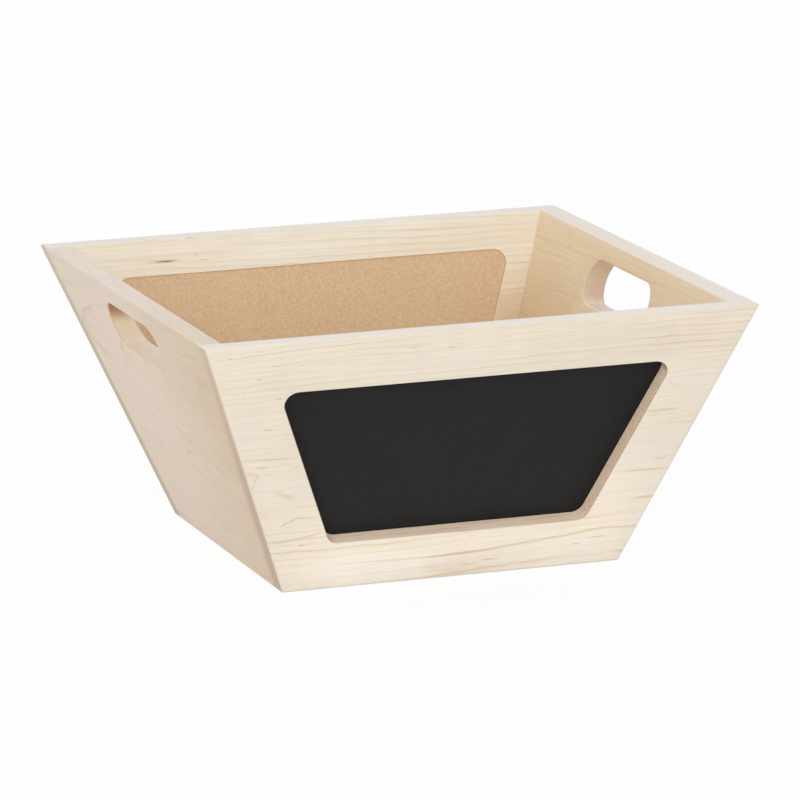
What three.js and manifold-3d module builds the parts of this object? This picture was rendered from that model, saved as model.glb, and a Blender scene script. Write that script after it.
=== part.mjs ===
// Wooden display box: an open bin whose four walls lean outwards, with a chalkboard window front and back.
// Millimetres, +Z up, origin at the middle of the footprint. The front faces -Y.
import * as THREE from 'three';
import { mergeVertices } from 'three/addons/utils/BufferGeometryUtils.js';
import Module from 'manifold-3d';

const wasm = await Module();
wasm.setup();

// Outer sizes
const topWidth = 317.5; // outside, left to right, at the rim
const topDepth = 317.5; // outside, front to back, at the rim
const baseWidth = 197; // outside, left to right, at the foot
const baseDepth = 197; // outside, front to back, at the foot
const height = 152.4;
const boardThickness = 12.7;
const jointGap = 0.3; // left between pieces that meet

// Chalkboard window in the front and back walls, measured on the wall's face
const topRail = 32.4;
const bottomRail = 30;
const stile = 32.4; // wood left beside the window at its middle height, square to the sloping edge
const windowFlare = THREE.MathUtils.degToRad(0.9); // its sides lean out this much more than the board's ends
const windowRadius = 7.5;
const rebateLip = 6.4; // how far the rebate reaches past the window
const rebateRadius = 7.5;
const chalkboardThickness = 3.2;
const chalkboardInset = 0.7; // its back lies this far below the wall's inner face

// Hand slots in the side walls
const slotLength = 94;
const slotHeight = 27;
const slotDrop = 26; // from the rim down the outer face to the slot's middle
const slotTilt = THREE.MathUtils.degToRad(7.5); // the slot climbs by this much towards the inside

// Floor board and the groove that holds it
const floorThickness = 6.4;
const floorLift = 6;
const grooveDepth = 5;

// Dowel pins across the corner joints
const dowelDiameter = 6;
const dowelChamfer = 0.8;
const dowelInFront = 8; // length inside the front or back wall
const dowelInSide = 20; // length inside the side wall
const dowelEndMargin = 27; // lowest and highest pin, from the foot and from the rim
const dowelsPerCorner = 3;
const dowelSides = 16;
const arcSteps = 8;

// Slopes that follow from the outer sizes
const sideRun = (topWidth - baseWidth) / 2 / height; // sideways per unit of height
const frontRun = (topDepth - baseDepth) / 2 / height;
const sideLean = Math.atan(sideRun);
const frontLean = Math.atan(frontRun);
const sideLevelThickness = boardThickness / Math.cos(sideLean);
const frontLevelThickness = boardThickness / Math.cos(frontLean);
const sideSlant = height / Math.cos(sideLean); // height measured up the wall's face
const frontSlant = height / Math.cos(frontLean);
const floorLow = floorLift + jointGap;
const floorHigh = floorLow + floorThickness;

// Half sizes of the box at a height
const outerHalfWidth = (z) => baseWidth / 2 + sideRun * z;
const outerHalfDepth = (z) => baseDepth / 2 + frontRun * z;
const innerHalfWidth = (z) => outerHalfWidth(z) - sideLevelThickness;
const innerHalfDepth = (z) => outerHalfDepth(z) - frontLevelThickness;

// Finishes
const maple = { color: 0xe8dac4, roughness: 0.55, metalness: 0 };
const plywood = { color: 0xdcc8a4, roughness: 0.6, metalness: 0 };
const chalk = { color: 0x2b2b2b, roughness: 0.85, metalness: 0 };
const dowelWood = { color: 0xd9bf96, roughness: 0.6, metalness: 0 };

// Closed geometry to solid and back, without the flat triangles that a turned profile has on its axis
function toSolid(geometry) {
  const plain = geometry.clone();
  plain.deleteAttribute('normal');
  plain.deleteAttribute('uv');
  const merged = mergeVertices(plain, 1e-4);
  const vertProperties = Float32Array.from(merged.attributes.position.array);
  const corners = merged.index.array;
  const kept = [];
  for (let i = 0; i < corners.length; i += 3) {
    const [a, b, c] = corners.slice(i, i + 3);
    if (a !== b && b !== c && c !== a) {
      kept.push(a, b, c);
    }
  }
  const triVerts = Uint32Array.from(kept);
  return new wasm.Manifold(new wasm.Mesh({ numProp: 3, vertProperties, triVerts }));
}

function toGeometry(solid) {
  const mesh = solid.getMesh();
  const geometry = new THREE.BufferGeometry();
  geometry.setAttribute('position', new THREE.BufferAttribute(new Float32Array(mesh.vertProperties), 3));
  geometry.setIndex(new THREE.BufferAttribute(new Uint32Array(mesh.triVerts), 1));
  return geometry;
}

// A board between two heights: x and y ranges at each height come from two functions
function leaningBoard(zLow, zHigh, xRange, yRange) {
  const geometry = new THREE.BoxGeometry(1, 1, 1);
  const position = geometry.attributes.position;
  for (let i = 0; i < position.count; i += 1) {
    const z = position.getZ(i) > 0 ? zHigh : zLow;
    const x = xRange(z)[position.getX(i) > 0 ? 1 : 0];
    const y = yRange(z)[position.getY(i) > 0 ? 1 : 0];
    position.setXYZ(i, x, y, z);
  }
  return toSolid(geometry);
}

// Frame of a wall: X along it, Y up its slope, Z out of its face, origin at the foot of the outer face
function wallFrame(turn, halfBase, lean) {
  const along = new THREE.Vector3(1, 0, 0);
  const upSlope = new THREE.Vector3(0, -Math.sin(lean), Math.cos(lean));
  const outwards = new THREE.Vector3().crossVectors(along, upSlope);
  return new THREE.Matrix4()
    .makeRotationZ(turn)
    .multiply(new THREE.Matrix4().makeTranslation(0, -halfBase, 0))
    .multiply(new THREE.Matrix4().makeBasis(along, upSlope, outwards));
}

const frames = {
  front: wallFrame(0, baseDepth / 2, frontLean),
  back: wallFrame(Math.PI, baseDepth / 2, frontLean),
  right: wallFrame(Math.PI / 2, baseWidth / 2, sideLean),
  left: wallFrame(-Math.PI / 2, baseWidth / 2, sideLean),
};

// Round-cornered window outline on the wall's face, grown all round by a margin
const edgeSpread = (topWidth - baseWidth) / 2 / frontSlant;
const edgeTurn = Math.atan(edgeSpread);
const windowTurn = edgeTurn + windowFlare;
const windowMiddle = (bottomRail + frontSlant - topRail) / 2; // up the face
const windowHalf = baseWidth / 2 + edgeSpread * windowMiddle - stile / Math.cos(edgeTurn); // there

function windowShape(grow, radius) {
  const low = bottomRail - grow;
  const high = frontSlant - topRail + grow;
  const halfAt = (v) => windowHalf + Math.tan(windowTurn) * (v - windowMiddle) + grow / Math.cos(windowTurn);
  const centreAt = (v) => halfAt(v) - radius / Math.cos(windowTurn);
  const quarter = Math.PI / 2;
  const shape = new THREE.Shape();
  shape.absarc(centreAt(low + radius), low + radius, radius, -quarter, -windowTurn, false);
  shape.absarc(centreAt(high - radius), high - radius, radius, -windowTurn, quarter, false);
  shape.absarc(-centreAt(high - radius), high - radius, radius, quarter, Math.PI + windowTurn, false);
  shape.absarc(-centreAt(low + radius), low + radius, radius, Math.PI + windowTurn, 3 * quarter, false);
  return shape;
}

// Slab of an outline on a wall, between two depths measured inwards from the outer face
function slab(shape, frame, depthFrom, depthTo) {
  const depth = depthTo - depthFrom;
  const options = { depth, bevelEnabled: false, curveSegments: arcSteps };
  const geometry = new THREE.ExtrudeGeometry(shape, options);
  geometry.translate(0, 0, -depthTo);
  geometry.applyMatrix4(frame);
  return geometry;
}

// Front and back boards run over the ends of the side boards, flush with their outer faces
const chalkboardStart = boardThickness - chalkboardInset - chalkboardThickness; // below the outer face
const rebateStart = chalkboardStart - jointGap;
const overrun = 5; // how far a cutter passes the faces
const through = boardThickness + overrun;

function windowBoard(frame, facing) {
  const board = leaningBoard(
    0,
    height,
    (z) => [-outerHalfWidth(z), outerHalfWidth(z)],
    (z) => (facing < 0 ? [-outerHalfDepth(z), -innerHalfDepth(z)] : [innerHalfDepth(z), outerHalfDepth(z)]),
  );
  return board
    .subtract(toSolid(slab(windowShape(0, windowRadius), frame, -overrun, through)))
    .subtract(toSolid(slab(windowShape(rebateLip, rebateRadius), frame, rebateStart, through)));
}

function chalkboard(frame) {
  const shape = windowShape(rebateLip - jointGap, rebateRadius - jointGap);
  return slab(shape, frame, chalkboardStart, chalkboardStart + chalkboardThickness);
}

// Hand slot: an obround swept inwards along a line that climbs by slotTilt
function slotCutter(frame) {
  const radius = slotHeight / 2;
  const reach = slotLength / 2 - radius;
  const quarter = Math.PI / 2;
  const middle = sideSlant - slotDrop;
  const shape = new THREE.Shape();
  shape.absarc(reach, middle, radius, -quarter, quarter, false);
  shape.absarc(-reach, middle, radius, quarter, 3 * quarter, false);
  const options = { depth: through + overrun, bevelEnabled: false, curveSegments: 2 * arcSteps };
  const geometry = new THREE.ExtrudeGeometry(shape, options);
  geometry.translate(0, 0, -through);
  const sweep = new THREE.Vector3(0, Math.tan(sideLean - slotTilt), 1);
  const lean = new THREE.Matrix4().makeBasis(new THREE.Vector3(1, 0, 0), new THREE.Vector3(0, 1, 0), sweep);
  geometry.applyMatrix4(lean);
  geometry.applyMatrix4(frame);
  return toSolid(geometry);
}

function sideBoard(frame, facing) {
  const board = leaningBoard(
    0,
    height,
    (z) => (facing < 0 ? [-outerHalfWidth(z), -innerHalfWidth(z)] : [innerHalfWidth(z), outerHalfWidth(z)]),
    (z) => [-innerHalfDepth(z) + jointGap, innerHalfDepth(z) - jointGap],
  );
  return board.subtract(slotCutter(frame));
}

// Floor board, and the same block grown by the gap, which cuts the groove in all four walls
const floorWidth = 2 * (innerHalfWidth(floorLow) + grooveDepth);
const floorDepth = 2 * (innerHalfDepth(floorLow) + grooveDepth);

function floorBlock(grow) {
  const growth = 2 * grow;
  const geometry = new THREE.BoxGeometry(floorWidth + growth, floorDepth + growth, floorThickness + growth);
  geometry.translate(0, 0, (floorLow + floorHigh) / 2);
  return geometry;
}

// Dowel pins lie level, front to back, in the middle of the side board's thickness
function pinGeometry(grow) {
  const radius = dowelDiameter / 2 + grow;
  const length = dowelInFront + dowelInSide + 2 * grow;
  const profile = [
    new THREE.Vector2(0, -grow),
    new THREE.Vector2(radius - dowelChamfer, -grow),
    new THREE.Vector2(radius, dowelChamfer - grow),
    new THREE.Vector2(radius, length - dowelChamfer - grow),
    new THREE.Vector2(radius - dowelChamfer, length - grow),
    new THREE.Vector2(0, length - grow),
  ];
  return new THREE.LatheGeometry(profile, dowelSides);
}

const pins = [];
for (const side of [-1, 1]) {
  for (const end of [-1, 1]) {
    for (let i = 0; i < dowelsPerCorner; i += 1) {
      const share = dowelsPerCorner > 1 ? i / (dowelsPerCorner - 1) : 0.5;
      const z = dowelEndMargin + share * (height - 2 * dowelEndMargin);
      const x = side * (outerHalfWidth(z) - sideLevelThickness / 2);
      const y = end * (innerHalfDepth(z) + dowelInFront);
      const place = new THREE.Matrix4().makeTranslation(x, y, z);
      place.multiply(new THREE.Matrix4().makeRotationX(end > 0 ? Math.PI : 0));
      const name = `dowel_${end < 0 ? 'front' : 'back'}_${side < 0 ? 'left' : 'right'}_${i + 1}`;
      pins.push({ name, side, end, place });
    }
  }
}

function cutForPins(solid, belongs) {
  const holes = pins.filter(belongs).map((pin) => toSolid(pinGeometry(jointGap).applyMatrix4(pin.place)));
  return holes.reduce((rest, hole) => rest.subtract(hole), solid);
}

// Assembly
const box = new THREE.Group();

function addPiece(name, geometry, finish) {
  const mesh = new THREE.Mesh(geometry, new THREE.MeshStandardMaterial(finish));
  mesh.name = name;
  box.add(mesh);
}

const groove = toSolid(floorBlock(jointGap));
const walls = [
  { name: 'front_panel', solid: windowBoard(frames.front, -1), belongs: (pin) => pin.end < 0 },
  { name: 'back_panel', solid: windowBoard(frames.back, 1), belongs: (pin) => pin.end > 0 },
  { name: 'left_side_panel', solid: sideBoard(frames.left, -1), belongs: (pin) => pin.side < 0 },
  { name: 'right_side_panel', solid: sideBoard(frames.right, 1), belongs: (pin) => pin.side > 0 },
];
for (const wall of walls) {
  const cut = cutForPins(wall.solid.subtract(groove), wall.belongs);
  addPiece(wall.name, toGeometry(cut), maple);
}
addPiece('front_chalkboard', chalkboard(frames.front), chalk);
addPiece('back_chalkboard', chalkboard(frames.back), chalk);
addPiece('base_panel', floorBlock(0), plywood);
for (const pin of pins) {
  addPiece(pin.name, pinGeometry(0).applyMatrix4(pin.place), dowelWood);
}

export default box;
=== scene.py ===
import math

import bmesh
import bpy
from mathutils import Matrix, Vector


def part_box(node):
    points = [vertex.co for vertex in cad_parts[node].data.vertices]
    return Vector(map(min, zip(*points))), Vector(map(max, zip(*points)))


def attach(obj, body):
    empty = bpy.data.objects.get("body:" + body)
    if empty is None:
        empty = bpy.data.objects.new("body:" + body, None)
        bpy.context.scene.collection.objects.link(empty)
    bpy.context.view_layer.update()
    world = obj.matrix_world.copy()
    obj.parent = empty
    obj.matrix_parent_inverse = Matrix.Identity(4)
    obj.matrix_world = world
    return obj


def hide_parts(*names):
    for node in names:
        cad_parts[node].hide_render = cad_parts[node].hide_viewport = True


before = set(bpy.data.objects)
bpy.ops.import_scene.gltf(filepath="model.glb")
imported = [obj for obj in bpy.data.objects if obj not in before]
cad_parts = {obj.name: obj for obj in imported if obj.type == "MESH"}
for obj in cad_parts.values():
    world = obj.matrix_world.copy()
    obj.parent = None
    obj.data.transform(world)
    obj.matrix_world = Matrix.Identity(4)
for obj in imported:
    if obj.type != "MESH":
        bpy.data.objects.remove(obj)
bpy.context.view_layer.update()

mm = 0.001
quarterTurn = math.pi / 2
outwards = Vector((0, 0, 1))

# The box's own sizes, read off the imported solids. It is square, so one side tells both.
cadGap = 0.3 * mm  # the solids stay this far apart
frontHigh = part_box("front_panel")[1]
sideLow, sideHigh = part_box("right_side_panel")
rimHalf = frontHigh.x
height = frontHigh.z
levelThickness = rimHalf - sideHigh.y - cadGap
footHalf = sideLow.x + levelThickness
slope = (rimHalf - footHalf) / height
lean = math.atan(slope)
boardThickness = levelThickness * math.cos(lean)
slant = height / math.cos(lean)  # height measured up a wall's face
floorLow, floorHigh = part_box("base_panel")
floorMiddle = (floorLow + floorHigh) / 2
print(f"box: rim {2 * rimHalf / mm:.1f}, foot {2 * footHalf / mm:.1f}, boards {boardThickness / mm:.2f} mm")


def outerHalf(z):
    return footHalf + slope * z


def innerHalf(z):
    return outerHalf(z) - levelThickness


# Frame of a wall: X along it, Y up its slope, Z out of its face, origin at the foot of the outer face
def wallFrame(turn):
    axes = [(1, 0, 0), (0, -math.sin(lean), math.cos(lean)), (0, -math.cos(lean), -math.sin(lean))]
    place = Matrix(axes).transposed().to_4x4()
    place.translation = (0, -footHalf, 0)
    return Matrix.Rotation(turn, 4, "Z") @ place


wallFrames = {
    "front": wallFrame(0),
    "right": wallFrame(quarterTurn),
    "back": wallFrame(2 * quarterTurn),
    "left": wallFrame(-quarterTurn),
}


# Materials

def linear(hexText):
    values = [int(hexText[i:i + 2], 16) / 255 for i in (1, 3, 5)]
    return [v / 12.92 if v <= 0.04045 else ((v + 0.055) / 1.055) ** 2.4 for v in values] + [1]


# Adds a node. An input is named or numbered, and takes a value, a socket or a node's own output.
def addNode(tree, kind, inputs=None, **settings):
    node = tree.nodes.new("ShaderNode" + kind)
    for name, value in settings.items():
        setattr(node, name, value)
    for key, value in (inputs or {}).items():
        socket = node.inputs[key]
        if isinstance(key, str) and not socket.enabled:
            socket = next(s for s in node.inputs if s.enabled and s.name == key)
        if isinstance(value, bpy.types.Node):
            value = next(s for s in value.outputs if s.enabled)
        if isinstance(value, bpy.types.NodeSocket):
            tree.links.new(value, socket)
        else:
            socket.default_value = value
    return node


# New material, with the coordinates of a frame of the piece in millimetres
def startMaterial(name, frameOf=Matrix()):
    material = bpy.data.materials.new(name)
    material.use_nodes = True
    tree = material.node_tree
    tree.nodes.clear()
    coords = addNode(tree, "TexCoord")
    place = addNode(tree, "Mapping", {"Vector": coords.outputs["Object"], "Location": frameOf.translation,
                                      "Rotation": frameOf.to_euler(), "Scale": (mm, mm, mm)},
                    vector_type="TEXTURE")
    return material, tree, coords, place


# Layers of noise, each given by the size of its patches in millimetres along X, Y and Z, and its detail
def noiseLayers(tree, place, layers):
    made = {}
    for name, (sizes, detail) in layers.items():
        perPatch = [1 / size for size in sizes]
        scaled = addNode(tree, "VectorMath", {0: place, 1: perPatch}, operation="MULTIPLY")
        made[name] = addNode(tree, "TexNoise", {"Vector": scaled, "Scale": 1.0, "Detail": detail})
    return made


# Lays colours over a base one after another, each where its layer goes from a low value to a high one
def layColours(tree, colour, coats):
    for layer, low, high, strength, hexText in coats:
        share = addNode(tree, "MapRange", {"Value": layer, "From Min": low, "From Max": high, "To Min": 0.0,
                                           "To Max": strength}, interpolation_type="SMOOTHSTEP")
        colour = addNode(tree, "Mix", {"Factor": share, "A": colour, "B": linear(hexText)},
                         data_type="RGBA")
    return colour


bumpStrength = 0.6  # the same for all, so a look sets only how deep its relief is


def finishMaterial(tree, colour, relief, look, roughness=None):
    bump = addNode(tree, "Bump", {"Height": relief, "Distance": look["relief"], "Strength": bumpStrength})
    shader = addNode(tree, "BsdfPrincipled", {"Base Color": colour, "Normal": bump, "IOR": look["ior"],
                                              "Roughness": roughness or look["roughness"],
                                              "Specular IOR Level": look["specular"]})
    addNode(tree, "OutputMaterial", {"Surface": shader})


# Hard maple, planed and sanded, no varnish: pale cream with thin tan growth lines and a satin sheen, a
# painted sheen that whitens the faces looking up, and pinkish brown where it is cut across the fibres
mapleLook = {
    "yellow": "#ecdcc0",  # broad patches
    "fleck": "#bd9b74",
    "fleckField": (0.56, 0.64),  # flecks gather where this layer is high
    "routedShade": "#ae7636",  # painted shade on the routed faces that look one way
    "torn": "#b38e6a",  # streaks that its cutter tore in the fibres
    "rim": "#f5eee6",  # painted sheen: whitens the faces that look up
    "endGrain": "#cdaf96",
    "endAngle": (0.28, 0.85),  # how far a face looks along the fibres where end grain starts and is full
    "darkPore": "#b8977c",
    "endPaler": [("Z", -6, -13, 0.4), ("Y", 60, 165, 0.3)],  # ends pale towards the inside and the rim
    "ringWander": 10.0,  # mm that a growth line strays from its circle
    "ringRipple": 3.0,  # mm of smaller waves along it
    "ringUneven": 1.2,  # rings that the spacing runs ahead or behind
    "ringRuns": 0.43,  # changes of spacing per ring
    "ringSeasons": 0.9,  # changes of strength per ring
    "bandWander": 24.0,  # mm that the edge of a band strays
    "ragged": 0.8,  # how uneven figure and marks are in outline
    "fibreTone": (0.93, 1.04),  # darkest and lightest fibre
    "shimmerTone": (0.99, 1.012),  # the same for the shimmer across the grain
    "edgeDarker": 0.03,  # edges darken and smoothen where hands and sandpaper pass
    "edgeSmoother": 0.06,
    "roughness": 0.44,
    "fibreRoughness": (-0.05, 0.06),  # from the smoothest to the roughest fibre
    "specular": 0.5,
    "ior": 1.5,
    "lineRelief": -0.4,  # growth lines sink among the fibres
    "relief": 0.05 * mm,
}
# Layers of noise in the maple: size of a patch in millimetres along, up and through the board, and detail
mapleNoise = {
    "wander": ((170, 60, 60), 2.5),  # of the rings
    "ripple": ((30, 16, 16), 3.5),
    "fade": ((130, 16, 16), 2),  # of the lines
    "patch": ((95, 26, 26), 2),
    "streak": ((120, 2.8, 2.8), 2),
    "fibre": ((38, 1.5, 1.5), 3),  # bundles, since single fibres are too fine to show
    "shimmer": ((11, 38, 38), 1),
    "fleck": ((9, 0.8, 0.8), 0),
    "fleckField": ((40, 13, 13), 1),
    "pore": ((6, 0.9, 0.9), 2),  # coarser than real pores, which are too fine to show
}
noiseStep = Vector((137, 71, 53))  # mm from one seed's piece of the noise to the next

# How each board was cut from its log and worked, in millimetres of the wall's own frame
boardCuts = {
    "front": {
        "cream": "#ede2d2",  # wood between the growth lines
        "pith": (0, -30, -50),  # the middle of the tree
        "ring": 3.6,  # a year's growth
        "taper": -0.02,  # of the log, along the board
        "lines": (0.85, "#d2b88d"),  # strength and colour of the growth lines
        "sharpness": 3.3,  # of the lines
        "streaks": 0.25,  # strength of the yellower streaks
        "rim": 0.8,  # strength of the painted sheen on the faces that look up
        "routed": (0.85, "#ffe7ca"),  # strength and colour of the clean cut that a router left
        "torn": 0.36,  # strength of the torn streaks in it
        "routedShade": (0.9, (-0.5, -0.87, 0)),  # strength of the painted shade on routed faces, and the way that the shaded faces look
        "seed": 3,
        "bands": [("Y", 42, 20, 0.4, "#f3ebdf")],  # bands of other colour: axis, start, where full, strength, colour
        # Places with bolder or fainter lines: centre, half length, half height and gain
        "figure": [
            ((75, 148, 0), 110, 20, 1.7),
            ((5, 9, 0), 38, 13, 1.2),
            ((-80, 150, 0), 50, 16, 0.8),
            ((75, 14, 0), 25, 14, 0.6),
            ((101, 72, 0), 34, 60, 0.35),
            ((-106, 60, 0), 24, 19, 0.25),
        ],
        # Marks: centre, half length, half height, strength, colour, and a turn in radians if tilted
        "marks": [
            ((-125.6, 141.9, 0), 2.2, 0.5, 0.4, "#a3977f"),
            ((-113, 128.6, 0), 2.2, 0.5, 0.4, "#a3977f"),
            ((-113, 89.5, 0), 18, 0.7, 0.35, "#cfae7e", -0.04),
            ((-119, 84.8, 0), 5, 0.8, 0.4, "#c8a873"),
            ((-123.5, 80.8, 0), 4.4, 0.8, 0.4, "#cfae7e", -0.25),
            ((-121.1, 77.4, 0), 4.2, 0.8, 0.4, "#cfae7e", 1.15),
            ((-122.4, 72.6, 0), 3, 0.7, 0.35, "#cfae7e", 1.4),
            ((-107.5, 67, 0), 6, 2.4, 0.3, "#d8bc8e", -0.4),
            ((-101.5, 63.8, 0), 4.5, 2, 0.35, "#d8bc8e", -0.2),
            ((-101.8, 46, 0), 3.2, 0.8, 0.5, "#c8a873", 0.46),
            ((-97, 48.3, 0), 4.4, 0.7, 0.45, "#c8a873", 0.42),
            ((-90.5, 48.9, 0), 6.5, 0.7, 0.4, "#cfae7e", -0.1),
            ((-104, 34.1, 0), 7, 0.8, 0.45, "#c8a873", 0.06),
            ((-88.5, 36.4, 0), 14, 0.8, 0.4, "#c8a873", 0.2),
            ((-91, 30.9, 0), 2.4, 0.9, 0.5, "#bf9a68"),
            ((-86.5, 31.5, 0), 5, 0.6, 0.3, "#cfae7e", 0.2),
            ((-50, 13, 0), 50, 14, 0.45, "#faf3ea"),
            ((5, 6, 0), 28, 7, 0.25, "#dcc6a8"),
            ((95, 146, 0), 80, 18, 0.2, "#dccbb0"),
            ((98, 44, 0), 34, 36, 0.35, "#f9eddb"),
            ((21, 9.5, 0), 6, 0.5, 0.5, "#b0957a"),
            ((8, 7.5, 0), 6, 0.5, 0.4, "#bfa284"),
            ((-13, 8, 0), 6, 0.5, 0.35, "#bfa284"),
            ((-38, 15.4, 0), 44, 1.0, 0.35, "#ccae80", -0.01),
            ((4, 15.5, 0), 26, 1.3, 0.6, "#c8a873", 0.04),
            ((34, 17.9, 0), 26, 1.3, 0.4, "#ccae80", 0.1),
            ((68, 21.4, 0), 30, 1.2, 0.45, "#ccae80", 0.12),
            ((103, 22.8, 0), 22, 1.0, 0.4, "#ccae80", -0.02),
            ((111, 99.3, 0), 12, 0.9, 0.4, "#c8a873"),
            ((106, 60.3, 0), 20, 0.9, 0.45, "#c8a873"),
            ((114, 67, 0), 6, 0.6, 0.5, "#bfa284"),
            ((109, 41.8, 0), 10, 0.9, 0.5, "#c8a873"),
        ],
    },
    "back": {
        "cream": "#f6eedf",
        "pith": (0, 10, 60),
        "ring": 3.2,
        "taper": -0.02,
        "lines": (0.9, "#d5ba8a"),
        "sharpness": 3.3,
        "streaks": 0.5,
        "rim": 0.7,
        "routed": (0.85, "#ffe7ca"),
        "torn": 0.36,
        "routedShade": None,
        "seed": 11,
        # painted warm shade: darker and more orange towards the foot of the board
        "bands": [("Y", 145, 80, 0.7, "#e2c397")],
        "figure": [],
        "marks": [  # a small dark knot inside the box, near the rim
            ((88.2, 145.7, -12.5), 14, 1.3, 0.4, "#c49a66"),
            ((88.7, 145.7, -12.5), 7, 0.55, 0.85, "#7d5433"),
        ],
    },
    "left": {
        "cream": "#ecd9c6",
        "pith": (0, 120, -45),
        "ring": 4.6,
        "taper": -0.12,
        "lines": (0.8, "#d2b79a"),
        "sharpness": 2.2,
        "streaks": 0.2,
        "rim": 0.35,
        "routed": (0.65, "#fbebcf"),
        "torn": 0.1,
        "routedShade": (0.95, (0.5, -0.87, 0)),
        "seed": 23,
        "bands": [("X", -40, 150, 0.85, "#d9bd94")],
        "figure": [],
        "marks": [],
    },
    "right": {
        "cream": "#eddfcb",
        "pith": (0, 215, 15),
        "ring": 3.4,
        "taper": -0.03,
        "lines": (0.55, "#d2b286"),
        "sharpness": 3.0,
        "streaks": 0.4,
        "rim": 0.75,
        "routed": (0.4, "#f5e0c9"),
        "torn": 0.3,
        "routedShade": (0.15, (-1, 0, 0)),
        "seed": 31,
        "bands": [("Z", -4, -9, 1.0, "#f1dab5")],
        "figure": [],
        "marks": [],
    },
}


# How far a point lies from a place on a board: 1 at the given half length or half height, turned by an
# angle in radians and made uneven by a layer of noise
def awayFrom(tree, place, uneven, centre, halfLength, halfHeight, turn=0.0, halfDepth=6, look=mapleLook):
    away = addNode(tree, "Mapping", {"Vector": place, "Location": centre, "Rotation": (0, 0, turn),
                                     "Scale": (halfLength, halfHeight, halfDepth)}, vector_type="TEXTURE")
    away = addNode(tree, "VectorMath", {0: away}, operation="LENGTH")
    return addNode(tree, "Math", {0: uneven, 1: look["ragged"], 2: away}, operation="MULTIPLY_ADD")


# Growth lines, one at the end of each year. The years are the distance from the pith, which wanders,
# ripples and tapers along the board, over the width of a ring.
def growthLines(tree, place, axes, noise, cut, look):
    fromPith = addNode(tree, "VectorMath", {0: place, 1: cut["pith"]}, operation="SUBTRACT")
    across = addNode(tree, "VectorMath", {0: fromPith, 1: (0, 1, 1)}, operation="MULTIPLY")
    radius = addNode(tree, "VectorMath", {0: across}, operation="LENGTH")
    for layer, amount in ((noise["wander"], look["ringWander"]), (noise["ripple"], look["ringRipple"]),
                          (axes["X"], cut["taper"])):
        radius = addNode(tree, "Math", {0: layer, 1: amount, 2: radius}, operation="MULTIPLY_ADD")
    years = addNode(tree, "Math", {0: radius, 1: cut["ring"]}, operation="DIVIDE")
    uneven = addNode(tree, "TexNoise", {"W": years, "Scale": look["ringRuns"], "Detail": 1.0},
                     noise_dimensions="1D")
    years = addNode(tree, "Math", {0: uneven, 1: look["ringUneven"], 2: years}, operation="MULTIPLY_ADD")
    growth = addNode(tree, "Math", {0: years}, operation="FRACT")
    line = addNode(tree, "Math", {0: growth, 1: cut["sharpness"]}, operation="POWER")
    season = addNode(tree, "TexNoise", {"W": years, "Scale": look["ringSeasons"], "Detail": 0.0},
                     noise_dimensions="1D")
    for layer, low, high, least in ((noise["fade"], 0.36, 0.66, 0.3), (season, 0.3, 0.72, 0.4),
                                    (noise["fibre"], 0.3, 0.62, 0.45)):
        kept = addNode(tree, "MapRange", {"Value": layer, "From Min": low, "From Max": high,
                                          "To Min": least, "To Max": 1.0}, interpolation_type="SMOOTHSTEP")
        line = addNode(tree, "Math", {0: line, 1: kept}, operation="MULTIPLY")
    for centre, halfLength, halfHeight, gain in cut["figure"]:
        away = awayFrom(tree, place, noise["patch"], centre, halfLength, halfHeight)
        gained = addNode(tree, "MapRange", {"Value": away, "From Min": 1.5, "From Max": 0.6,
                                            "To Min": 1.0, "To Max": gain}, interpolation_type="SMOOTHSTEP")
        line = addNode(tree, "Math", {0: line, 1: gained}, operation="MULTIPLY")
    return line


# Planed face: bands of other colour, patches of other wood, then marks, growth lines and flecks
def planedColour(tree, place, axes, noise, line, cut, look):
    colour = linear(cut["cream"])
    middle = look["bandWander"] / 2
    for axis, start, full, strength, hexText in cut["bands"]:
        across = addNode(tree, "Math", {0: noise["patch"], 1: look["bandWander"], 2: axes[axis]},
                         operation="MULTIPLY_ADD")
        colour = layColours(tree, colour, [(across, start + middle, full + middle, strength, hexText)])
    colour = layColours(tree, colour, [
        (noise["patch"], 0.38, 0.72, 0.4, look["yellow"]),
        (noise["streak"], 0.42, 0.7, cut["streaks"], look["yellow"]),
    ])
    for centre, halfLength, halfHeight, strength, hexText, *turn in cut["marks"]:
        away = awayFrom(tree, place, noise["fibre"], centre, halfLength, halfHeight, *turn)
        colour = layColours(tree, colour, [(away, 1.5, 0.75, strength, hexText)])
    low, high = look["fleckField"]
    gathered = addNode(tree, "MapRange", {"Value": noise["fleckField"], "From Min": low, "From Max": high})
    fleck = addNode(tree, "Math", {0: noise["fleck"], 1: gathered}, operation="MULTIPLY")
    return layColours(tree, colour, [
        (line, 0.0, 1.0, *cut["lines"]),
        (fleck, 0.70, 0.80, 0.6, look["fleck"]),
    ])


# Cut across the fibres it drinks the light and looks pinkish brown, with dark pores
def endGrainColour(tree, colour, normal, fibres, axes, noise, line, look):
    facing = addNode(tree, "VectorMath", {0: normal, 1: fibres}, operation="DOT_PRODUCT")
    facing = addNode(tree, "Math", {0: facing}, operation="ABSOLUTE")
    start, full = look["endAngle"]
    share = addNode(tree, "MapRange", {"Value": facing, "From Min": start, "From Max": full},
                    interpolation_type="SMOOTHSTEP")
    ends = layColours(tree, linear(look["endGrain"]), [
        (noise["pore"], 0.35, 0.75, 0.5, look["darkPore"]),
        (line, 0.1, 1.0, 0.8, look["darkPore"]),
        *((axes[axis], low, high, strength, look["yellow"])
          for axis, low, high, strength in look["endPaler"]),
    ])
    return addNode(tree, "Mix", {"Factor": share, "A": colour, "B": ends}, data_type="RGBA")
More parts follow.
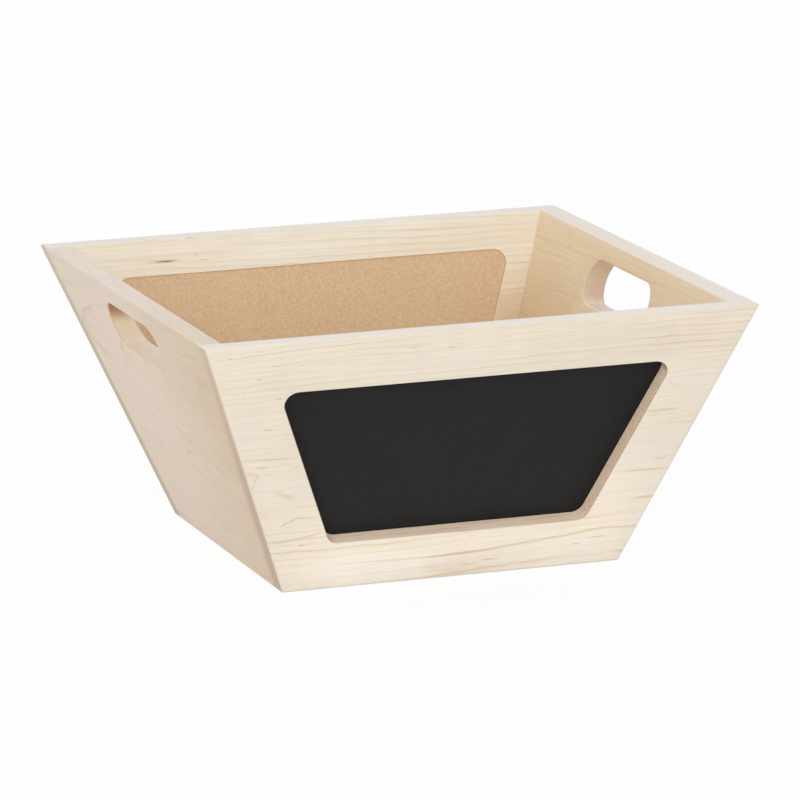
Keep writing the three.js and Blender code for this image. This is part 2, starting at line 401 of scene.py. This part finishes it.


# What a router left in the window or the hand slot: a clean pale cut and torn streaks, with painted shade
# on the routed faces that look one way
def routedColour(tree, colour, normal, wall, noise, cut, look):
    routed = addNode(tree, "Attribute", attribute_name="routed").outputs["Fac"]
    torn = addNode(tree, "Math", {0: noise["fibre"], 1: routed}, operation="MULTIPLY")
    colour = layColours(tree, colour, [
        (routed, 0.0, 1.0, *cut["routed"]),
        (torn, 0.42, 0.68, cut["torn"], look["torn"]),
    ])
    # Painted shade: routed faces that look one way are darker and browner
    if cut["routedShade"]:
        strength, faces = cut["routedShade"]
        shadedSide = addNode(tree, "VectorMath", {0: normal, 1: wall.to_3x3() @ Vector(faces)},
                        operation="DOT_PRODUCT")
        shadedSide = addNode(tree, "Math", {0: shadedSide, 1: routed}, operation="MULTIPLY")
        colour = layColours(tree, colour, [(shadedSide, 0.3, 1.0, strength, look["routedShade"])])
    return colour


def makeMaple(side, look=mapleLook):
    wall = wallFrames[side]
    cut = boardCuts[side]
    material, tree, coords, place = startMaterial("hard_maple_planed_and_sanded_" + side, wall)
    shifted = addNode(tree, "VectorMath", {0: place, 1: cut["seed"] * noiseStep}, operation="ADD")
    noise = noiseLayers(tree, shifted, mapleNoise)
    axes = addNode(tree, "SeparateXYZ", {0: place}).outputs
    normal = coords.outputs["Normal"]
    line = growthLines(tree, place, axes, noise, cut, look)
    colour = planedColour(tree, place, axes, noise, line, cut, look)
    # Painted sheen: faces that look up are whiter
    upwards = addNode(tree, "SeparateXYZ", {0: normal}).outputs["Z"]
    colour = layColours(tree, colour, [(upwards, 0.7, 0.97, cut["rim"], look["rim"])])
    colour = endGrainColour(tree, colour, normal, wall.col[0].to_3d(), axes, noise, line, look)
    colour = routedColour(tree, colour, normal, wall, noise, cut, look)

    # Fibres, and a faint shimmer across the grain, lighten and darken it a little
    tones = []
    for name, low, high in (("fibre", 0.25, 0.75), ("shimmer", 0.3, 0.7)):
        darkest, lightest = look[name + "Tone"]
        tones.append(addNode(tree, "MapRange", {"Value": noise[name], "From Min": low, "From Max": high,
                                                "To Min": darkest, "To Max": lightest}))
    tone = addNode(tree, "Math", {0: tones[0], 1: tones[1]}, operation="MULTIPLY")
    colour = addNode(tree, "VectorMath", {0: colour, "Scale": tone}, operation="SCALE")

    # Handled and sanded edges are a touch darker and smoother than the faces
    eased = addNode(tree, "Attribute", attribute_name="eased").outputs["Fac"]
    worn = addNode(tree, "Math", {0: eased, 1: -look["edgeDarker"], 2: 1.0}, operation="MULTIPLY_ADD")
    colour = addNode(tree, "VectorMath", {0: colour, "Scale": worn}, operation="SCALE")
    smoothest, roughest = (look["roughness"] + change for change in look["fibreRoughness"])
    rough = addNode(tree, "MapRange", {"Value": noise["fibre"], "From Min": 0.2, "From Max": 0.8,
                                       "To Min": smoothest, "To Max": roughest})
    rough = addNode(tree, "Math", {0: eased, 1: -look["edgeSmoother"], 2: rough}, operation="MULTIPLY_ADD")
    relief = addNode(tree, "Math", {0: line, 1: look["lineRelief"], 2: noise["fibre"]},
                     operation="MULTIPLY_ADD")
    finishMaterial(tree, colour, relief, look, rough)
    return material


# Hardboard, wood fibre pressed wet and hot: warm brown felt with bark specks and pale short fibres
hardboardLook = {
    "brown": "#d9b893",
    "pale": "#ecd5b3",
    "bark": "#b8946d",
    "roughness": 0.62,
    "specular": 0.3,
    "ior": 1.5,
    "relief": 0.04 * mm,
}


def makeHardboard(look=hardboardLook):
    material, tree, _, place = startMaterial("hardboard_pressed_fibre")
    noise = noiseLayers(tree, place, {
        "cloud": ((26, 26, 26), 2),
        "mottle": ((1.8, 1.8, 1.8), 3),
        "dark": ((1.6, 1.3, 1.3), 2),
        "bark": ((1.5, 1.1, 1.1), 1),
        "fibre": ((2.4, 0.7, 0.7), 1),  # short bundles, since single fibres are too fine to show
    })
    colour = layColours(tree, linear(look["brown"]), [
        (noise["cloud"], 0.3, 0.7, 0.08, look["bark"]),
        (noise["mottle"], 0.3, 0.72, 0.45, look["pale"]),
        (noise["dark"], 0.45, 0.75, 0.14, look["bark"]),
        (noise["bark"], 0.64, 0.76, 0.5, look["bark"]),
        (noise["fibre"], 0.64, 0.76, 0.45, look["pale"]),
    ])
    finishMaterial(tree, colour, noise["mottle"], look)
    return material


# Chalkboard paint, rolled on and rubbed down: near black and matt, with a fine tooth that holds chalk
chalkLook = {
    "black": "#141414",
    "grey": "#1f1f1f",
    "edge": "#6f5a45",  # hardboard that shows through on the rubbed edge
    "roughness": 0.72,
    "specular": 0.25,
    "ior": 1.5,
    "relief": 0.03 * mm,
}


def makeChalkPaint(look=chalkLook):
    material, tree, _, place = startMaterial("chalkboard_paint_rolled_matt")
    noise = noiseLayers(tree, place, {
        "roller": ((14, 14, 40), 2),
        "tooth": ((1.4, 1.4, 1.4), 2),  # drawn coarse, since the real 0.2 mm is too fine to show
    })
    eased = addNode(tree, "Attribute", attribute_name="eased").outputs["Fac"]
    worn = addNode(tree, "Math", {0: eased, 1: noise["tooth"]}, operation="MULTIPLY")
    colour = layColours(tree, linear(look["black"]), [
        (noise["roller"], 0.3, 0.7, 0.2, look["grey"]),
        (noise["tooth"], 0.35, 0.7, 0.6, look["grey"]),
        (worn, 0.3, 0.6, 0.6, look["edge"]),
    ])
    finishMaterial(tree, colour, noise["tooth"], look)
    return material


# Birch plywood, peeled veneer glued crosswise and sanded: cloudy pale face, dark and pale plies on its edge
plywoodLook = {
    "pale": "#e6d2ac",
    "tan": "#cdaa78",
    "crossPly": "#b98f5f",
    "ply": 1.28,  # mm, five to the board
    "contours": 22.0,  # growth lines that peeling drew out, over the whole range of the noise
    "roughness": 0.55,
    "specular": 0.4,
    "ior": 1.5,
    "relief": 0.05 * mm,
}


def makePlywood(look=plywoodLook):
    floorFrame = Matrix.Translation(floorMiddle)
    material, tree, coords, place = startMaterial("birch_plywood_peeled_and_sanded", floorFrame)
    noise = noiseLayers(tree, place, {
        "contour": ((150, 34, 34), 2),
        "fibre": ((30, 1.2, 1.2), 3),  # bundles, as in the maple
    })
    contour = addNode(tree, "Math", {0: noise["contour"], 1: look["contours"]}, operation="MULTIPLY")
    contour = addNode(tree, "Math", {0: contour}, operation="FRACT")
    depth = addNode(tree, "SeparateXYZ", {0: place}).outputs["Z"]
    ply = addNode(tree, "Math", {0: depth, 1: math.pi / look["ply"]}, operation="MULTIPLY")
    ply = addNode(tree, "Math", {0: ply}, operation="COSINE")
    normalZ = addNode(tree, "SeparateXYZ", {0: coords.outputs["Normal"]}).outputs["Z"]
    face = addNode(tree, "Math", {0: normalZ}, operation="ABSOLUTE")
    crossPly = addNode(tree, "Math", {0: face, 1: 3.0, 2: ply}, operation="MULTIPLY_ADD")
    colour = layColours(tree, linear(look["pale"]), [
        (contour, 0.5, 1.0, 0.22, look["tan"]),
        (noise["fibre"], 0.35, 0.75, 0.3, look["tan"]),
        (crossPly, 0.2, -0.2, 0.8, look["crossPly"]),
    ])
    finishMaterial(tree, colour, noise["fibre"], look)
    return material


# Beech pin, turned and fluted: warm tan with short dark rays along it
beechLook = {
    "tan": "#d8b98e",
    "ray": "#a97c50",
    "roughness": 0.6,
    "specular": 0.4,
    "ior": 1.5,
    "relief": 0.05 * mm,
}


def makeBeech(look=beechLook):
    material, tree, _, place = startMaterial("beech_turned_and_fluted")
    noise = noiseLayers(tree, place, {
        "ray": ((0.5, 2.4, 0.5), 1),
        "fibre": ((0.8, 12, 0.8), 2),
    })
    colour = layColours(tree, linear(look["tan"]), [
        (noise["fibre"], 0.3, 0.8, 0.4, look["ray"]),
        (noise["ray"], 0.55, 0.72, 0.7, look["ray"]),
    ])
    finishMaterial(tree, colour, noise["ray"], look)
    return material


hardboard = makeHardboard()
chalkPaint = makeChalkPaint()
print("materials ready")


# Mesh helpers

sharpAngle = math.radians(40)  # between two faces that are shaded apart
nearby = 0.001 * mm  # two points closer than this are at the same place


# Points along arcs, each given by its centre, radius and the angles between which it turns
def arcPoints(arcs, steps):
    points = []
    for x, y, radius, start, end in arcs:
        for k in range(steps + 1):
            angle = start + (end - start) * k / steps
            points.append((x + radius * math.cos(angle), y + radius * math.sin(angle)))
    return points


def addLoop(bm, points, depth, rise=0.0):
    return [bm.verts.new((x, y + rise, -depth)) for x, y in points]


# Wall between two loops of the same count, the second one deeper in the board
def joinLoops(bm, upper, lower, smooth=True, eased=0.0, routed=0.0):
    layers = bm.faces.layers.float
    count = len(upper)
    for k in range(count):
        n = (k + 1) % count
        face = bm.faces.new((upper[k], upper[n], lower[n], lower[k]))
        face.smooth = smooth
        face[layers["eased"]] = eased
        face[layers["routed"]] = routed


# Replaces a flat four-cornered face by four faces round a hole, each from one side to the loop
def openFace(bm, face, loop):
    corners = list(face.verts)
    nearest = [min(range(len(loop)), key=lambda k: (loop[k].co - corner.co).length) for corner in corners]
    forwards = (nearest[1] - nearest[0]) % len(loop) < len(loop) / 2
    if not forwards:  # the loop runs the other way round than the face
        loop = loop[::-1]
        nearest = [len(loop) - 1 - k for k in nearest]
    bm.faces.remove(face)
    for i, corner in enumerate(corners):
        n = (i + 1) % len(corners)
        span = (nearest[n] - nearest[i]) % len(loop)
        back = [loop[(nearest[i] + k) % len(loop)] for k in range(span, -1, -1)]
        bm.faces.new([corner, corners[n]] + back)


def easeEdges(bm, edges, radius, segments=5):
    layer = bm.faces.layers.float["eased"]
    made = bmesh.ops.bevel(bm, geom=edges, offset=radius, segments=segments, profile=0.5, affect="EDGES")
    for face in made["faces"]:
        face.smooth = True
        face[layer] = 1.0


# Steps of a rounded arris, as growth and depth, from the face down to where the rounding ends
def easedSteps(radius, steps=4):
    angles = [quarterTurn * k / steps for k in range(steps + 1)]
    return [(radius * (1 - math.sin(angle)), radius * (1 - math.cos(angle))) for angle in angles]


def largestFace(bm, direction):
    facing = [face for face in bm.faces if face.normal.dot(direction) > 0.99]  # nearly straight at it
    return max(facing, key=lambda face: face.calc_area())


def newMesh():
    bm = bmesh.new()
    for name in ("eased", "routed"):
        bm.faces.layers.float.new(name)
    return bm


def newPiece(name, bm, place, materials):
    bmesh.ops.recalc_face_normals(bm, faces=bm.faces)
    bm.transform(place)
    mesh = bpy.data.meshes.new(name)
    bm.to_mesh(mesh)
    bm.free()
    for material in materials:
        mesh.materials.append(material)
    mesh.set_sharp_from_angle(angle=sharpAngle)
    piece = bpy.data.objects.new(name, mesh)
    bpy.context.scene.collection.objects.link(piece)
    return piece


def standFor(piece, node):
    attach(piece, "root")
    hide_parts(node)


# Pins, fluted and chamfered, lying level from front to back in the corner joints
pin = {
    "chamfer": 0.8 * mm,
    "flutes": 12,
    "fluteDepth": 0.18 * mm,
    "sides": 48,
}


# Turned bar along Y, from rings that have a place along it, a radius and a share of the flutes' depth
def turnedBar(bm, centre, rings, sides, flutes=1, fluteDepth=0.0):
    loops = []
    for along, radius, fluted in rings:
        loop = []
        for k in range(sides):
            angle = 2 * math.pi * k / sides
            r = radius - fluted * fluteDepth * (0.5 - 0.5 * math.cos(flutes * angle))
            loop.append(bm.verts.new(centre + Vector((r * math.cos(angle), along, r * math.sin(angle)))))
        loops.append(loop)
    for a, b in zip(loops, loops[1:]):
        joinLoops(bm, a, b)
    bm.faces.new(loops[0])
    bm.faces.new(loops[-1])


pinNodes = sorted(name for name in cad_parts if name.startswith("dowel_"))
beech = makeBeech()
for node in pinNodes:
    low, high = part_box(node)
    radius = (high.z - low.z) / 2
    half = (high.y - low.y) / 2
    bm = newMesh()
    chamfer = pin["chamfer"]
    rings = [(-half, radius - chamfer, 0), (chamfer - half, radius, 1),
             (half - chamfer, radius, 1), (half, radius - chamfer, 0)]
    turnedBar(bm, Vector(), rings, pin["sides"], pin["flutes"], pin["fluteDepth"])
    piece = newPiece(node.replace("dowel", "pin"), bm, Matrix.Translation((low + high) / 2), [beech])
    standFor(piece, node)
print(f"{len(pinNodes)} pins")


# Floor board, held in a groove all round
floorBoard = {"ease": 0.4 * mm}
bm = newMesh()
bmesh.ops.create_cube(bm, size=1.0, matrix=Matrix.Diagonal((*(floorHigh - floorLow), 1)))
easeEdges(bm, bm.edges[:], floorBoard["ease"], 2)
floorPiece = newPiece("floor_board", bm, Matrix.Translation(floorMiddle), [makePlywood()])
standFor(floorPiece, "base_panel")
print("floor board")


# Cuts the groove for the floor board and the holes for its pins into a wall
def cutJoints(wall, node):
    bm = newMesh()
    grooveSize = floorHigh - floorLow + 2 * cadGap * Vector((1, 1, 1))
    block = Matrix.Translation(floorMiddle) @ Matrix.Diagonal((*grooveSize, 1))
    bmesh.ops.create_cube(bm, size=1.0, matrix=block)
    for name in pinNodes:
        if node.split("_")[0] in name:
            low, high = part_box(name)
            radius = (high.z - low.z) / 2 + cadGap
            half = (high.y - low.y) / 2 + cadGap
            turnedBar(bm, (low + high) / 2, [(-half, radius, 0), (half, radius, 0)], pin["sides"])
    cutter = newPiece("cutter", bm, Matrix(), [])
    modifier = wall.modifiers.new("joints", "BOOLEAN")
    modifier.operation = "DIFFERENCE"
    modifier.solver = "EXACT"
    modifier.object = cutter
    view = bpy.context.evaluated_depsgraph_get()
    mesh = bpy.data.meshes.new_from_object(wall.evaluated_get(view))
    wall.modifiers.clear()
    wall.data = mesh
    bpy.data.objects.remove(cutter)


# A board with a level rim and foot, from stations that each give a place along it at a height
sectionCorners = [(0, 0), (height, 0), (height, boardThickness), (0, boardThickness)]  # height and depth


def boardHull(stations):
    bm = newMesh()
    rows = []
    for station in stations:
        row = []
        for z, depth in sectionCorners:
            up = (z - depth * math.sin(lean)) / math.cos(lean)
            row.append(bm.verts.new((station(z), up, -depth)))
        rows.append(row)
    for a, b in zip(rows, rows[1:]):
        for i in range(4):
            j = (i + 1) % 4
            bm.faces.new((a[i], b[i], b[j], a[j]))
    bm.faces.new(rows[0])
    bm.faces.new(rows[-1][::-1])
    bmesh.ops.recalc_face_normals(bm, faces=bm.faces)
    return bm, rows


def longEdges(bm, rows, corner):
    return [bm.edges.get((a[corner], b[corner])) for a, b in zip(rows, rows[1:])]


# The rim's inner edge from one joint to the other
def innerRimEdges(bm):
    rimUp = (height - boardThickness * math.sin(lean)) / math.cos(lean)
    found = []
    for edge in bm.edges:
        ends = [vert.co for vert in edge.verts]
        onRim = all(abs(end.y - rimUp) < nearby and abs(end.z + boardThickness) < nearby for end in ends)
        if onRim and abs(ends[0].x + ends[1].x) < nearby:
            found.append(edge)
    return found


# Front and back boards: each runs over the ends of the side boards and has a round-cornered window,
# rebated from inside for the chalkboard
windowBoard = {
    "topRail": 32.4 * mm,
    "bottomRail": 30 * mm,
    "stile": 32.4 * mm,  # at the window's middle height
    "flare": math.radians(0.9),  # the window's sides lean out this much more than the board's ends
    "cornerRadius": 7.5 * mm,
    "rebateLip": 6.4 * mm,
    "rebateRadius": 7.5 * mm,
    "outerEase": 1.3 * mm,
    "innerEase": 0.8 * mm,
    "windowEase": 0.6 * mm,
    "arcSteps": 14,
}
chalkboard = {"thickness": 3.2 * mm, "inset": 0.7 * mm, "ease": 0.12 * mm, "play": 0.02 * mm}
chalkboardStart = boardThickness - chalkboard["inset"] - chalkboard["thickness"]
rebateStart = chalkboardStart - cadGap


# Outline of the window on the wall's face, grown all round by a margin
def windowPoints(grow, radius, dims=windowBoard):
    spread = (rimHalf - footHalf) / slant
    edgeTurn = math.atan(spread)
    turn = edgeTurn + dims["flare"]
    low = dims["bottomRail"] - grow + radius
    high = slant - dims["topRail"] + grow - radius
    middle = (low + high) / 2
    middleHalf = footHalf + spread * middle - dims["stile"] / math.cos(edgeTurn)
    right = [(low, -quarterTurn, -turn), (high, -turn, quarterTurn)]
    left = [(up, math.pi - end, math.pi - start) for up, start, end in reversed(right)]
    arcs = []
    for side, corners in ((1, right), (-1, left)):
        for up, start, end in corners:
            x = middleHalf + math.tan(turn) * (up - middle) + (grow - radius) / math.cos(turn)
            arcs.append((side * x, up, radius, start, end))
    return arcPoints(arcs, dims["arcSteps"])


def makeWindowBoard(node, dims=windowBoard):
    bm, rows = boardHull([lambda z: -outerHalf(z), lambda z: -innerHalf(z), innerHalf, outerHalf])
    outer = longEdges(bm, rows, 0) + longEdges(bm, rows, 1)
    for row in (rows[0], rows[-1]):
        outer += [bm.edges.get((row[i], row[j])) for i, j in ((0, 1), (1, 2), (3, 0))]
    easeEdges(bm, outer, dims["outerEase"])
    easeEdges(bm, innerRimEdges(bm), dims["innerEase"])
    bm.normal_update()
    outerFace = largestFace(bm, outwards)
    innerFace = largestFace(bm, -outwards)
    loops = [addLoop(bm, windowPoints(grow, dims["cornerRadius"] + grow), depth)
             for grow, depth in easedSteps(dims["windowEase"])]
    openFace(bm, outerFace, loops[0])
    for upper, lower in zip(loops, loops[1:]):
        joinLoops(bm, upper, lower, eased=1.0)
    shoulder = addLoop(bm, windowPoints(0, dims["cornerRadius"]), rebateStart)
    joinLoops(bm, loops[-1], shoulder, routed=1.0)
    rebate = [addLoop(bm, windowPoints(dims["rebateLip"], dims["rebateRadius"]), depth)
              for depth in (rebateStart, boardThickness)]
    joinLoops(bm, shoulder, rebate[0], smooth=False)
    joinLoops(bm, rebate[0], rebate[1])
    openFace(bm, innerFace, rebate[1])
    side = node.split("_")[0]
    wall = newPiece(side + "_board", bm, wallFrames[side], [makeMaple(side)])
    cutJoints(wall, node)
    standFor(wall, node)


# Side boards: plain, between the front and back boards, each with an obround hand slot
sideBoard = {
    "slotLength": 94 * mm,
    "slotHeight": 27 * mm,
    "slotDrop": 26 * mm,
    "slotTilt": math.radians(7.5),  # it climbs by this much towards the inside
    "slotEase": 0.8 * mm,
    "easeRouted": 0.3,  # share of the router's look on the slot's eased edges
    "outerEase": 1.3 * mm,
    "innerEase": 0.8 * mm,
    "glueLine": 0.04 * mm,  # left beside the front and back boards, a hairline
    "arcSteps": 28,
}


# Outline of the hand slot, grown all round by a margin
def slotPoints(grow, dims=sideBoard):
    radius = dims["slotHeight"] / 2
    reach = dims["slotLength"] / 2 - radius
    up = slant - dims["slotDrop"]
    arcs = [(reach, up, radius + grow, -quarterTurn, quarterTurn),
            (-reach, up, radius + grow, quarterTurn, 3 * quarterTurn)]
    return arcPoints(arcs, dims["arcSteps"])


def makeSideBoard(node, dims=sideBoard):
    glueLine = dims["glueLine"]
    bm, rows = boardHull([lambda z: glueLine - innerHalf(z), lambda z: innerHalf(z) - glueLine])
    easeEdges(bm, longEdges(bm, rows, 0) + longEdges(bm, rows, 1), dims["outerEase"])
    easeEdges(bm, innerRimEdges(bm), dims["innerEase"])
    bm.normal_update()
    outerFace = largestFace(bm, outwards)
    innerFace = largestFace(bm, -outwards)
    climb = math.tan(lean - dims["slotTilt"])
    steps = easedSteps(dims["slotEase"])
    levels = steps + [(grow, boardThickness - depth) for grow, depth in reversed(steps)]
    loops = [addLoop(bm, slotPoints(grow), depth, -climb * depth) for grow, depth in levels]
    openFace(bm, outerFace, loops[0])
    for k, (upper, lower) in enumerate(zip(loops, loops[1:])):
        through = k == len(steps) - 1
        eased, routed = (0.0, 1.0) if through else (1.0, dims["easeRouted"])
        joinLoops(bm, upper, lower, eased=eased, routed=routed)
    openFace(bm, innerFace, loops[-1])
    side = node.split("_")[0]
    wall = newPiece(side + "_board", bm, wallFrames[side], [makeMaple(side)])
    cutJoints(wall, node)
    standFor(wall, node)


for node in ("front_panel", "back_panel"):
    makeWindowBoard(node)
for node in ("left_side_panel", "right_side_panel"):
    makeSideBoard(node)
print("four walls")


# Chalkboards: hardboard sheets in the rebates, cut from a painted board, bare inside the box
def makeChalkboard(node, dims=chalkboard):
    bm = newMesh()
    ease = dims["ease"]
    lip = windowBoard["rebateLip"] - dims["play"]
    radius = windowBoard["rebateRadius"] - dims["play"]
    end = chalkboardStart + dims["thickness"]
    levels = [(-ease, chalkboardStart), (0, chalkboardStart + ease), (0, end - ease), (-ease, end)]
    loops = [addLoop(bm, windowPoints(lip + grow, radius + grow), depth) for grow, depth in levels]
    for upper, lower, eased in zip(loops, loops[1:], (1.0, 0.0, 1.0)):
        joinLoops(bm, upper, lower, smooth=False, eased=eased)
    bm.faces.new(loops[-1])
    painted = bm.faces.new(loops[0])
    painted.material_index = 1
    side = node.split("_")[0]
    sheet = newPiece(side + "_blackboard", bm, wallFrames[side], [hardboard, chalkPaint])
    standFor(sheet, node)


for node in ("front_chalkboard", "back_chalkboard"):
    makeChalkboard(node)
print("two chalkboards")


# Studio: white paper sweep, even white light and two soft lamps, in metres and watts
studio = {
    "ambient": 0.745,
    "key": {"place": (-0.98, -2.57, 1.1), "aim": (0, 0, 0.07), "size": (2.4, 1.6), "power": 29.0},
    # Light that the paper throws up under the front board
    "card": {"place": (0, -0.135, 0.002), "aim": (0, -0.125, 0.1), "size": (0.2, 0.06), "power": 0.012},
    "paper": "#f4f4f4",
    "paperHalf": 6.0,
    "shadowShare": 0.05,  # how much of the paper's own shading the camera sees
}


# 1 on rays from the camera, and on those that it sees by reflection or through glass
def seenRays(tree):
    path = addNode(tree, "LightPath")
    seen = addNode(tree, "Math", {0: path.outputs["Is Camera Ray"], 1: path.outputs["Is Glossy Ray"]},
                   operation="MAXIMUM")
    return addNode(tree, "Math", {0: seen, 1: path.outputs["Is Transmission Ray"]}, operation="MAXIMUM")


world = bpy.data.worlds.new("studio_world")
bpy.context.scene.world = world
world.use_nodes = True
tree = world.node_tree
tree.nodes.clear()
strength = addNode(tree, "MapRange", {"Value": seenRays(tree), "To Min": studio["ambient"], "To Max": 1.0})
background = addNode(tree, "Background", {"Strength": strength, "Color": (1, 1, 1, 1)})
addNode(tree, "OutputWorld", {"Surface": background})

bpy.ops.mesh.primitive_plane_add(size=2 * studio["paperHalf"])
paperSweep = bpy.context.object
paperSweep.name = "paper_sweep"
paperMaterial = bpy.data.materials.new("white_paper_matt")
paperMaterial.use_nodes = True
tree = paperMaterial.node_tree
tree.nodes.clear()
paper = addNode(tree, "BsdfDiffuse", {"Color": linear(studio["paper"])})
glow = addNode(tree, "Emission", {"Color": (1, 1, 1, 1), "Strength": 1.0})
whiteShare = 1 - studio["shadowShare"]
share = addNode(tree, "MapRange", {"Value": seenRays(tree), "To Min": 0.0, "To Max": whiteShare})
sweep = addNode(tree, "MixShader", {0: share, 1: paper, 2: glow})
addNode(tree, "OutputMaterial", {"Surface": sweep})
paperSweep.data.materials.append(paperMaterial)

for name in ("key", "card"):
    lamp = studio[name]
    light = bpy.data.lights.new(name, "AREA")
    light.shape = "RECTANGLE"
    light.size, light.size_y = lamp["size"]
    light.energy = lamp["power"]
    holder = bpy.data.objects.new(name, light)
    holder.location = lamp["place"]
    aim = Vector(lamp["aim"]) - holder.location
    holder.rotation_euler = aim.to_track_quat("-Z", "Y").to_euler()
    holder.visible_camera = False
    bpy.context.scene.collection.objects.link(holder)

# Camera, fitted to the photograph's 800 by 800 frame
photoCamera = {
    "place": (-1057.49 * mm, -3065.06 * mm, 799.60 * mm),
    "yaw": math.radians(19.1231),
    "pitch": math.radians(12.5235),  # down
    "roll": math.radians(-0.70028),
    "lens": 265.16,  # mm, as is the sensor
    "sensor": 36.0,
    "clipEnd": 50,  # m
}
cameraData = bpy.data.cameras.new("photo_camera")
cameraData.lens = photoCamera["lens"]
cameraData.sensor_width = photoCamera["sensor"]
cameraData.clip_end = photoCamera["clipEnd"]
camera = bpy.data.objects.new("photo_camera", cameraData)
turned = (Matrix.Rotation(-photoCamera["yaw"], 4, "Z")
          @ Matrix.Rotation(quarterTurn - photoCamera["pitch"], 4, "X")
          @ Matrix.Rotation(photoCamera["roll"], 4, "Z"))
camera.matrix_world = Matrix.Translation(photoCamera["place"]) @ turned
bpy.context.scene.collection.objects.link(camera)
bpy.context.scene.camera = camera
bpy.context.scene.view_settings.view_transform = "Standard"
print("studio and camera")
